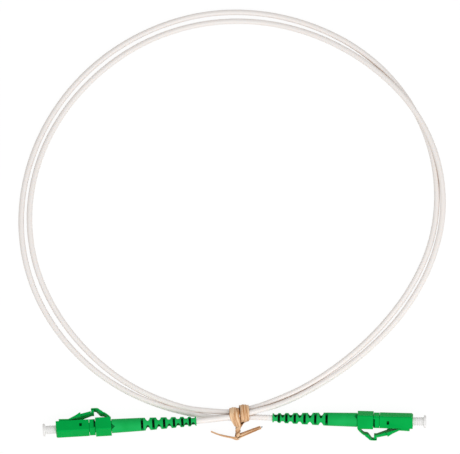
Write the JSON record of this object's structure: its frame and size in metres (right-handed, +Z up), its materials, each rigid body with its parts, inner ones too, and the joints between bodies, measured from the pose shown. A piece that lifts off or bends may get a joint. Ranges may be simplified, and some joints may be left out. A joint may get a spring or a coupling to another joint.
{
  "type": "fibre optic patch cord",
  "caption": "Slim white optical cable coiled loosely under a paper twist tie, with a small square green plug, spring latch and dust cap at each end.",
  "frame": {"origin": "on the floor under the middle of the two plugs' box", "axes": "+X from plug A to plug B, +Y from the plugs towards the coil, +Z up from the floor it lies on"},
  "size_m": [0.1557, 0.157, 0.0081],
  "materials": {
    "connector": "satin moulded, green",
    "boot": "smooth flexible moulding, lighter green",
    "dust_cap": "soft translucent moulding",
    "ceramic": "polished zirconia ceramic",
    "fibre": "bare glass",
    "plated_metal": "nickel plated",
    "spring_steel": "drawn wire",
    "guide": "slippery tube",
    "crimp": "turned and crimped",
    "aramid": "yellow aramid yarn",
    "jacket": "extruded, satin white",
    "buffer": "extruded, smooth",
    "kraft": "waxed kraft paper",
    "tie_wire": "annealed iron wire"
  },
  "bodies": {
    "cord": {"plug_housing_a": "connector", "backbone_a": "connector", "guide_tube_a": "guide", "trigger_clip_a": "connector", "crimp_sleeve_a": "crimp", "yarn_flare_a": "aramid", "boot_a": "boot", "ferrule_spring_a": "spring_steel", "plug_housing_b": "connector", "backbone_b": "connector", "guide_tube_b": "guide", "trigger_clip_b": "connector", "crimp_sleeve_b": "crimp", "yarn_flare_b": "aramid", "boot_b": "boot", "ferrule_spring_b": "spring_steel", "cable_jacket": "jacket", "aramid_yarn": "aramid", "buffered_fibre": "buffer", "tie_ribbon": "kraft", "tie_wire": "tie_wire"},
    "ferrule_a": {"ferrule_a": "ceramic", "ferrule_holder_a": "plated_metal", "bare_fibre_a": "fibre"},
    "dust_cap_a": {"dust_cap_a": "dust_cap"},
    "latch_a": {"latch_arm_a": "connector"},
    "trigger_a": {"trigger_lever_a": "connector"},
    "ferrule_b": {"ferrule_b": "ceramic", "ferrule_holder_b": "plated_metal", "bare_fibre_b": "fibre"},
    "dust_cap_b": {"dust_cap_b": "dust_cap"},
    "latch_b": {"latch_arm_b": "connector"},
    "trigger_b": {"trigger_lever_b": "connector"}
  },
  "joints": [
    {"name": "ferrule_slide_a", "type": "slide", "parent": "cord", "child": "ferrule_a", "axis": [0.9982, 0.0593, 0], "range_m": [0, 0.001], "stiffness_N_per_m": 50, "deforming": ["ferrule_spring_a"]},
    {"name": "dust_cap_slide_a", "type": "slide", "parent": "cord", "child": "dust_cap_a", "axis": [-0.9982, -0.0593, 0], "range_m": [0, 0.012]},
    {"name": "latch_hinge_a", "type": "hinge", "parent": "cord", "child": "latch_a", "pos_m": [-0.06015, 0.0006, 0.00325], "axis": [0.0265, -0.4454, -0.8949], "range_deg": [0, 9], "stiffness_Nm_per_rad": 0.0002},
    {"name": "trigger_hinge_a", "type": "hinge", "parent": "cord", "child": "trigger_a", "pos_m": [-0.04566, 0.00161, 0.00318], "axis": [-0.0265, 0.4454, 0.8949], "range_deg": [0, 12.15], "stiffness_Nm_per_rad": 0.00002},
    {"name": "ferrule_slide_b", "type": "slide", "parent": "cord", "child": "ferrule_b", "axis": [-0.998, 0.0296, -0.0558], "range_m": [0, 0.001], "stiffness_N_per_m": 50, "deforming": ["ferrule_spring_b"]},
    {"name": "dust_cap_slide_b", "type": "slide", "parent": "cord", "child": "dust_cap_b", "axis": [0.998, -0.0296, 0.0558], "range_m": [0, 0.012]},
    {"name": "latch_hinge_b", "type": "hinge", "parent": "cord", "child": "latch_b", "pos_m": [0.05959, -0.00131, 0.00373], "axis": [0.0632, 0.4445, -0.8935], "range_deg": [0, 9], "stiffness_Nm_per_rad": 0.0002},
    {"name": "trigger_hinge_b", "type": "hinge", "parent": "cord", "child": "trigger_b", "pos_m": [0.0451, -0.00103, 0.00284], "axis": [-0.0632, -0.4445, 0.8935], "range_deg": [0, 12.15], "stiffness_Nm_per_rad": 0.00002}
  ],
  "couplings": [
    {"joint": "trigger_hinge_a", "follows": "latch_hinge_a", "ratio": 1.35},
    {"joint": "trigger_hinge_b", "follows": "latch_hinge_b", "ratio": 1.35}
  ]
}
